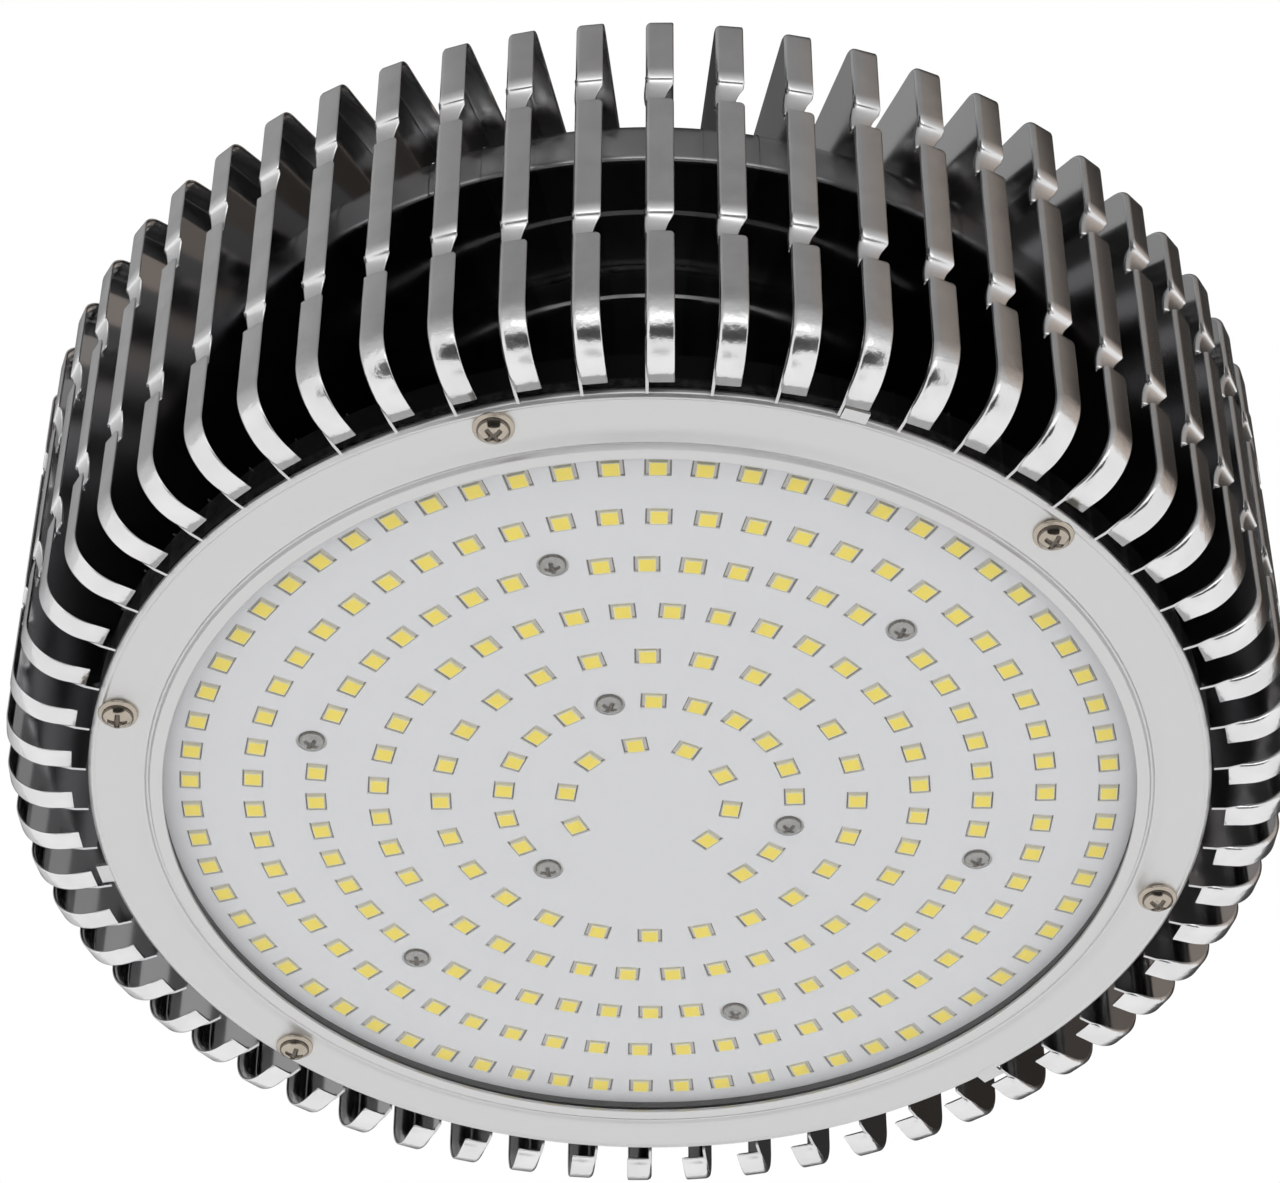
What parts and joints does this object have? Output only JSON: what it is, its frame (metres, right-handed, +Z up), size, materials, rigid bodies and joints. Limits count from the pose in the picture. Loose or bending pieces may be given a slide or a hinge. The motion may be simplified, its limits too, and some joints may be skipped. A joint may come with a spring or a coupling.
{
  "type": "high bay light",
  "caption": "Round high bay light: a ring of folded aluminium cooling fins around a clear-lensed disc of yellow emitters, with a hanging eye and cable gland on its top lid.",
  "frame": {"origin": "on the lamp's axis at the level of the bezel screws' lowest points, the centre of the bounding box's bottom", "axes": "+Z up along the lamp's axis towards the hanging eye, +X through one bezel screw, light shines towards -Z"},
  "size_m": [0.2266, 0.2266, 0.1278],
  "materials": {
    "bezel_metal": "satin",
    "screw_steel": "satin",
    "clear_glass": "clear",
    "seal_rubber": "matte",
    "white_sheet": "matte",
    "emitter": "matte",
    "board_green": "matte",
    "pad_grey": "matte",
    "dark_steel": "satin",
    "cast_aluminium": "satin",
    "fin_aluminium": "polished",
    "brass": "satin",
    "ferrite": "matte",
    "copper_coil": "satin",
    "black_plastic": "matte",
    "green_plastic": "matte",
    "lid_aluminium": "satin",
    "eye_steel": "satin"
  },
  "bodies": {
    "root": {"bezel_ring": "bezel_metal", "bezel_screws": "screw_steel", "clear_lens": "clear_glass", "lens_seal": "seal_rubber", "reflector_sheet": "white_sheet", "led_ring_1": "emitter", "led_ring_2": "emitter", "led_ring_3": "emitter", "led_ring_4": "emitter", "led_ring_5": "emitter", "led_ring_6": "emitter", "led_ring_7": "emitter", "led_board": "board_green", "thermal_pad": "pad_grey", "board_screws_outer": "dark_steel", "board_screws_inner": "dark_steel", "base_plate": "cast_aluminium", "fin_pack_01": "fin_aluminium", "fin_pack_02": "fin_aluminium", "fin_pack_03": "fin_aluminium", "fin_pack_04": "fin_aluminium", "fin_pack_05": "fin_aluminium", "fin_pack_06": "fin_aluminium", "fin_pack_07": "fin_aluminium", "fin_pack_08": "fin_aluminium", "fin_pack_09": "fin_aluminium", "fin_pack_10": "fin_aluminium", "fin_pack_11": "fin_aluminium", "fin_pack_12": "fin_aluminium", "driver_housing": "cast_aluminium", "housing_screws": "dark_steel", "driver_board": "board_green", "driver_standoffs": "brass", "driver_screws": "dark_steel", "transformer_core": "ferrite", "transformer_coil": "copper_coil", "driver_capacitors": "black_plastic", "output_capacitor": "black_plastic", "driver_choke": "ferrite", "driver_heat_strip": "cast_aluminium", "driver_transistors": "black_plastic", "terminal_block": "green_plastic", "top_lid": "lid_aluminium", "lid_screws": "dark_steel", "hanging_eye": "eye_steel", "eye_washer": "eye_steel", "eye_nut": "eye_steel", "gland_body": "brass", "gland_collet": "seal_rubber", "gland_cap": "brass", "gland_locknut": "brass"}
  },
  "joints": []
}
